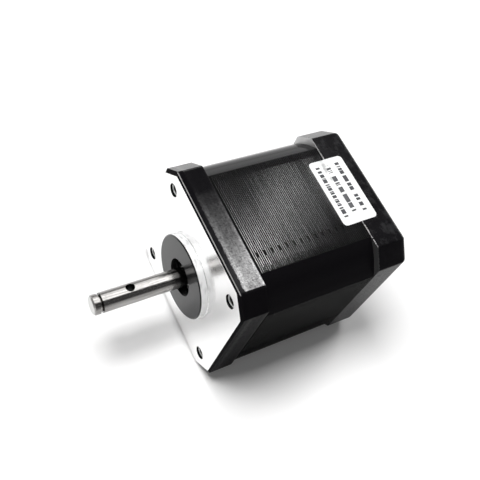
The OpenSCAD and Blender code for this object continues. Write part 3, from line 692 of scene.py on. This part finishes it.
# each has two colours that its grain runs between, a pair of roughnesses, and how deep the grain is
innerFinishes = {
    "bobbin_nylon": {
        "nodes": ("front_bobbin", "rear_bobbin"),
        "colours": ((0.62, 0.60, 0.54), (0.52, 0.50, 0.45)),
        "rough": (0.42, 0.55), "metal": 0.0, "grain": 2.2, "stretch": None, "depth": 0.006},
    "winding_copper": {
        "nodes": ("coils_phase_a", "coils_phase_b"),
        "colours": ((0.50, 0.17, 0.06), (0.22, 0.06, 0.02)),
        "rough": (0.22, 0.38), "metal": 0.8, "grain": 3.0, "stretch": (1, 0.12, 1), "depth": 0.12},
    "board_green": {
        "nodes": ("terminal_board",),
        "colours": ((0.015, 0.11, 0.045), (0.02, 0.15, 0.06)),
        "rough": (0.30, 0.42), "metal": 0.0, "grain": 4.0, "stretch": None, "depth": 0.006},
    "tinned_posts": {
        "nodes": ("winding_posts", "connector_pins"),
        "colours": ((0.72, 0.71, 0.68), (0.60, 0.59, 0.56)),
        "rough": (0.22, 0.34), "metal": 1.0, "grain": 6.0, "stretch": (1, 0.2, 0.2), "depth": 0.003},
    "connector_nylon": {
        "nodes": ("connector_housing",),
        "colours": ((0.78, 0.77, 0.72), (0.70, 0.69, 0.64)),
        "rough": (0.34, 0.46), "metal": 0.0, "grain": 2.5, "stretch": None, "depth": 0.005},
    "zinc_screws": {
        "nodes": ("through_screws",),
        "colours": ((0.55, 0.55, 0.56), (0.42, 0.42, 0.44)),
        "rough": (0.26, 0.42), "metal": 1.0, "grain": 5.0, "stretch": (1, 0.3, 1), "depth": 0.004},
    "spring_steel": {
        "nodes": ("wave_washer",),
        "colours": ((0.30, 0.28, 0.25), (0.20, 0.19, 0.18)),
        "rough": (0.24, 0.36), "metal": 1.0, "grain": 4.0, "stretch": None, "depth": 0.003},
    "rotor_iron": {
        "nodes": ("front_rotor_cup", "rear_rotor_cup"),
        "colours": ((0.36, 0.35, 0.34), (0.16, 0.155, 0.15)),
        "rough": (0.30, 0.44), "metal": 0.9, "grain": 2.0, "stretch": (0.05, 1, 0.05), "depth": 0.012},
    "magnet_plate": {
        "nodes": ("rotor_magnet",),
        "colours": ((0.46, 0.45, 0.43), (0.36, 0.35, 0.34)),
        "rough": (0.24, 0.34), "metal": 1.0, "grain": 3.0, "stretch": None, "depth": 0.003},
    "brass_spacer": {
        "nodes": ("front_spacer", "rear_spacer"),
        "colours": ((0.62, 0.44, 0.17), (0.50, 0.34, 0.12)),
        "rough": (0.22, 0.34), "metal": 1.0, "grain": 8.0, "stretch": (0.05, 1, 0.05), "depth": 0.003},
    "bearing_steel": {
        "nodes": ("front_bearing_inner_race", "front_bearing_outer_race",
                  "rear_bearing_inner_race", "rear_bearing_outer_race"),
        "colours": ((0.60, 0.60, 0.60), (0.50, 0.50, 0.50)),
        "rough": (0.14, 0.24), "metal": 1.0, "grain": 9.0, "stretch": (0.05, 1, 0.05), "depth": 0.001},
    "cage_brass": {
        "nodes": ("front_bearing_cage", "rear_bearing_cage"),
        "colours": ((0.60, 0.42, 0.18), (0.46, 0.31, 0.12)),
        "rough": (0.26, 0.38), "metal": 1.0, "grain": 4.0, "stretch": None, "depth": 0.003},
    "ball_steel": {
        "nodes": ("front_bearing_balls", "rear_bearing_balls"),
        "colours": ((0.66, 0.66, 0.67), (0.60, 0.60, 0.61)),
        "rough": (0.05, 0.11), "metal": 1.0, "grain": 2.0, "stretch": None, "depth": 0.0005},
    "shield_steel": {
        # their colours are kept dark, as painted shade deep in the bore
        "nodes": ("front_bearing_shields", "rear_bearing_shields"),
        "colours": ((0.10, 0.10, 0.10), (0.06, 0.06, 0.06)),
        "rough": (0.24, 0.36), "metal": 1.0, "grain": 7.0, "stretch": (1, 0.1, 1), "depth": 0.002},
}


def innerFinish(name, look):
    made, tree = newFinish(name)
    grain = grainOf(tree, inMillimetres(tree), look["grain"], 3, look["stretch"])
    spread = band(tree, grain, *noiseSpan)
    dress(tree, {"Base Color": mixColours(tree, spread, *look["colours"]),
                 "Roughness": between(tree, spread, *look["rough"]), "Metallic": look["metal"]},
          spread, look["depth"])
    return made


for name, look in innerFinishes.items():
    coat(innerFinish(name, look), *look["nodes"])


print("lamination edges")

# the names are those of the group's inputs, and shares are of the size that they follow
laminations = {
    "Count": 62,                # sheets on each flat of the stack
    "Pitch": 0.5 * mm,
    "First": 7.75 * mm,
    "Side": 21.0 * mm,
    "Half length": 13.6 * mm,
    "End share": 0.99,          # past this share of it the edge sinks
    "Width": 0.44 * mm,
    "Slope share": 0.3,         # and past this share of the width
    "Proud": 0.060 * mm,
    "Drop share": 1.05,         # how far it sinks, as a share of its height
    "Sunk": 0.08 * mm,
    "Crest": 0.40,              # share of the width that is level on top
    "Scatter": 0.008 * mm,
    "Lean": 0.015,              # radians that a sheet's edge may lean
    "Thinner": 0.15,            # share by which some sheets' edges are narrower
    "Notch at": 9.1 * mm,
    "Notch width": 1.45 * mm,
    "Notch first": 2.0,         # the first sheet with a notch, counted from 0
    "Notch every": 4.0,
    "Seed": 7,
}
sheetSteps = {"whole": 15, "before notch": 13, "after notch": 4}     # points along each kind of edge
laminationPaint = {
    "rough": (0.11, 0.16),
    "dull": (0.0018, 0.0018, 0.0019),
    # the bright colour is partly rubbed paint and partly a painted sheen along the sheets' edges
    "bright": (0.012, 0.012, 0.0125),
    "dullGloss": (0.001, 0.003),   # specular level of whole paint, on the dull and on the polished sides
    "brightGloss": (0.008, 0.64),  # and where it is rubbed bright
    "index": 1.9,               # refractive index of the paint there
    "crest": (0.09, 0.14),      # share of the pitch, either side of a sheet's middle, where the brighter colour and gloss end
    "sheenOnDullSides": 0.6,            # how much of the painted sheen shows on the dull sides, which are left in painted shade
    "streak": 0.55,             # brighter stretches in each millimetre of a sheet
    "sheetStep": 3.7,           # how far apart in the noise the sheets are read
    "streakSpan": (0.34, 0.66),
    "least": 0.74,              # share of the brightness that the dimmest stretches have
    "grain": 2.0,               # humps in each millimetre
    "grainSpan": (0.35, 0.65),
    "grainLeast": 0.8,
    "peelDepth": 0.0012,
}


def laminationFinish():
    # the sheets' edges are glossier and brighter in colour, partly rubbed paint and partly a painted sheen,
    # more on some sheets than on others
    look = laminationPaint
    made, tree = newFinish("lamination_edges")
    place = inMillimetres(tree)
    part = partsOf(tree, place)
    start = (laminations["First"] - laminations["Pitch"] / 2) / mm
    sheet = calc(tree, "DIVIDE", minus(tree, part[1], start), laminations["Pitch"] / mm)
    fromMiddle = sizeOf(tree, minus(tree, calc(tree, "FRACT", sheet), 0.5))
    crest = band(tree, fromMiddle, *look["crest"], 1.0, 0.0)
    sheet = times(tree, calc(tree, "FLOOR", sheet), look["sheetStep"])
    lengthwise = times(tree, plus(tree, part[0], part[2]), look["streak"])
    streak = grainOf(tree, xyz(tree, lengthwise, sheet), 1.0, 3)
    grain = grainOf(tree, place, look["grain"], 3)
    bright = times(tree, band(tree, streak, *look["streakSpan"], look["least"], 1.0),
                   band(tree, grain, *look["grainSpan"], look["grainLeast"], 1.0), crest)
    polish = facings(tree)[1]
    paintedSheen = times(tree, bright, between(tree, polish, look["sheenOnDullSides"], 1.0))
    gloss = between(tree, bright, between(tree, polish, *look["dullGloss"]),
                    between(tree, polish, *look["brightGloss"]))
    dress(tree, {"Base Color": mixColours(tree, paintedSheen, look["dull"], look["bright"]),
                 "Roughness": between(tree, grain, *look["rough"]), "Specular IOR Level": gloss,
                 "IOR": look["index"]}, grain, look["peelDepth"])
    return made


def newNodeGroup(name, sizes):
    # a geometry group with one named input for each size, and the finish last
    tree = bpy.data.node_groups.new(name, "GeometryNodeTree")
    for label, value in sizes.items():
        kind = "NodeSocketInt" if isinstance(value, int) else "NodeSocketFloat"
        tree.interface.new_socket(label, in_out="INPUT", socket_type=kind)
    tree.interface.new_socket("Finish", in_out="INPUT", socket_type="NodeSocketMaterial")
    tree.interface.new_socket("Geometry", in_out="OUTPUT", socket_type="NodeSocketGeometry")
    return tree, put(tree, "NodeGroupInput").outputs


def growMesh(name, tree, sizes, finish):
    # runs a group with these sizes, and keeps the result as a plain mesh object
    shell = bpy.data.objects.new(name + "_group", bpy.data.meshes.new(name + "_group"))
    bpy.context.scene.collection.objects.link(shell)
    modifier = shell.modifiers.new("nodes", "NODES")
    modifier.node_group = tree
    for item in tree.interface.items_tree:
        if item.in_out == "INPUT":
            modifier[item.identifier] = finish if item.name == "Finish" else sizes[item.name]
    seen = shell.evaluated_get(bpy.context.evaluated_depsgraph_get())
    mesh = bpy.data.meshes.new_from_object(seen)
    mesh.name = name
    shell.modifiers.remove(modifier)
    bpy.data.objects.remove(shell)
    piece = bpy.data.objects.new(name, mesh)
    bpy.context.scene.collection.objects.link(piece)
    return piece


def closeGroup(tree, geometry, finish):
    real = put(tree, "GeometryNodeRealizeInstances", {0: geometry}).outputs[0]
    done = put(tree, "GeometryNodeSetMaterial", {0: real, "Material": finish}).outputs[0]
    put(tree, "NodeGroupOutput", {0: done})


def together(tree, kind, pieces):
    # one node that takes all these pieces at its first input
    made = put(tree, kind)
    for piece in pieces:
        tree.links.new(piece, made.inputs[0])
    return made.outputs[0]


def laminationGroup():
    tree, size = newNodeGroup("lamination edges", laminations)
    deep = plus(tree, size["Proud"], size["Sunk"])
    half = size["Half length"]

    def strip(start, end, steps):
        # one sheet's edge from start to end, crowned, and sinking towards the corners
        block = put(tree, "GeometryNodeMeshCube", {
            "Size": xyz(tree, minus(tree, end, start), size["Width"], deep),
            "Vertices X": steps, "Vertices Y": 4, "Vertices Z": 2}).outputs["Mesh"]
        middle = times(tree, plus(tree, start, end), 0.5)
        lift = minus(tree, size["Proud"], times(tree, deep, 0.5))
        block = put(tree, "GeometryNodeTransform", {
            0: block, "Translation": xyz(tree, middle, 0.0, lift)}).outputs[0]
        spot = partsOf(tree, put(tree, "GeometryNodeInputPosition").outputs[0])
        ends = over(tree, calc(tree, "DIVIDE", sizeOf(tree, spot[0]), half), size["End share"])
        slope = over(tree, sizeOf(tree, spot[1]), times(tree, size["Width"], size["Slope share"]))
        drop = times(tree, largest(tree, ends, slope), size["Proud"], size["Drop share"], -1.0)
        # the inner points stand a third of the width apart, and move to the ends of the level crest
        widen = times(tree, spot[1], minus(tree, times(tree, size["Crest"], 3.0), 1.0))
        widen = times(tree, minus(tree, 1.0, slope), widen)
        return put(tree, "GeometryNodeSetPosition", {
            0: block, "Selection": over(tree, spot[2], 0.0),
            "Offset": xyz(tree, 0.0, widen, drop)}).outputs[0]

    def randomShare(least, draw):
        return put(tree, "FunctionNodeRandomValue", {
            2: least, 3: 1.0, "Seed": plus(tree, size["Seed"], draw)}, data_type="FLOAT").outputs[1]

    left = times(tree, half, -1.0)
    gap = times(tree, size["Notch width"], 0.5)
    whole = strip(left, half, sheetSteps["whole"])
    beforeNotch = strip(left, minus(tree, size["Notch at"], gap), sheetSteps["before notch"])
    afterNotch = strip(plus(tree, size["Notch at"], gap), half, sheetSteps["after notch"])
    cut = together(tree, "GeometryNodeJoinGeometry", (beforeNotch, afterNotch))
    kinds = together(tree, "GeometryNodeGeometryToInstance", (cut, whole))

    row = put(tree, "GeometryNodeMeshLine", {
        "Count": size["Count"], "Start Location": xyz(tree, 0.0, size["First"], size["Side"]),
        "Offset": xyz(tree, 0.0, size["Pitch"], 0.0)}, mode="OFFSET").outputs[0]
    shift = times(tree, randomShare(-1.0, 0.0), size["Scatter"])
    lean = xyz(tree, times(tree, randomShare(-1.0, 1.0), size["Lean"]))
    narrow = xyz(tree, 1.0, minus(tree, 1.0, times(tree, randomShare(0.0, 2.0), size["Thinner"])), 1.0)
    row = put(tree, "GeometryNodeSetPosition", {0: row, "Offset": xyz(tree, 0.0, shift, shift)}).outputs[0]
    index = put(tree, "GeometryNodeInputIndex").outputs[0]
    place = calc(tree, "MODULO", index, size["Notch every"])
    notched = calc(tree, "COMPARE", place, size["Notch first"], 0.5)
    flats = []
    for turn, hasNotches in ((0, True), (90, False), (180, True), (270, False)):
        sheets = put(tree, "GeometryNodeInstanceOnPoints", {
            "Points": row, "Instance": kinds, "Pick Instance": True, "Rotation": lean, "Scale": narrow})
        if hasNotches:
            tree.links.new(notched, sheets.inputs["Instance Index"])
        flats.append(put(tree, "GeometryNodeTransform", {
            0: sheets.outputs[0], "Rotation": (0.0, math.radians(turn), 0.0)}).outputs[0])
    closeGroup(tree, together(tree, "GeometryNodeJoinGeometry", flats), size["Finish"])
    return tree


laminationEdges = growMesh("lamination_edges", laminationGroup(), laminations, laminationFinish())
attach(laminationEdges, "housing")


print("threads of the mounting holes")

threads = {
    "Hole at": 15.5 * mm,
    "Radius": 1.52 * mm,
    "Depth": 0.26 * mm,
    "Pitch": 0.5 * mm,
    "Turns": 8.0,
    "Steps": 32,                # points in each turn
    "Start": 0.42 * mm,
}
threadLook = {
    "colours": ((0.95, 0.95, 0.95), (0.80, 0.80, 0.80)),
    "deep": (0.70, 0.90),       # past these depths the thread is painted dark, as painted shade deep in the hole
    "dark": (0.02, 0.02, 0.02),
    "rough": (0.22, 0.36),
    "grain": 3.0,
    "grainDepth": 0.006,
}


def threadFinish():
    look = threadLook
    made, tree = newFinish("cut_thread")
    place = inMillimetres(tree)
    grain = grainOf(tree, place, look["grain"], 3)
    colour = mixColours(tree, grain, *look["colours"])
    # painted shade, darker deeper in the hole
    colour = mixColours(tree, band(tree, partsOf(tree, place)[1], *look["deep"]), colour, look["dark"])
    dress(tree, {"Base Color": colour, "Roughness": between(tree, grain, *look["rough"]), "Metallic": 1.0},
          grain, look["grainDepth"])
    return made


def threadGroup():
    # one square ridge, wound about the hole's axis and laid into each hole
    tree, size = newNodeGroup("threads", threads)
    spiral = put(tree, "GeometryNodeCurveSpiral", {
        "Resolution": size["Steps"], "Rotations": size["Turns"], "Start Radius": size["Radius"],
        "End Radius": size["Radius"], "Height": times(tree, size["Turns"], size["Pitch"])}).outputs[0]
    upright = put(tree, "GeometryNodeSetCurveNormal", {0: spiral}, mode="Z_UP").outputs[0]
    ridge = put(tree, "GeometryNodeCurvePrimitiveCircle", {
        "Resolution": 4, "Radius": size["Depth"]}, mode="RADIUS").outputs[0]
    thread = put(tree, "GeometryNodeCurveToMesh", {0: upright, 1: ridge, "Fill Caps": True}).outputs[0]
    laid = put(tree, "GeometryNodeTransform", {
        0: thread, "Rotation": (math.radians(-90), 0.0, 0.0)}).outputs[0]
    holes = []
    for x in (-1.0, 1.0):
        for z in (-1.0, 1.0):
            spot = xyz(tree, times(tree, size["Hole at"], x), size["Start"], times(tree, size["Hole at"], z))
            holes.append(put(tree, "GeometryNodeTransform", {0: laid, "Translation": spot}).outputs[0])
    closeGroup(tree, together(tree, "GeometryNodeJoinGeometry", holes), size["Finish"])
    return tree


mountingThreads = growMesh("mounting_threads", threadGroup(), threads, threadFinish())
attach(mountingThreads, "housing")
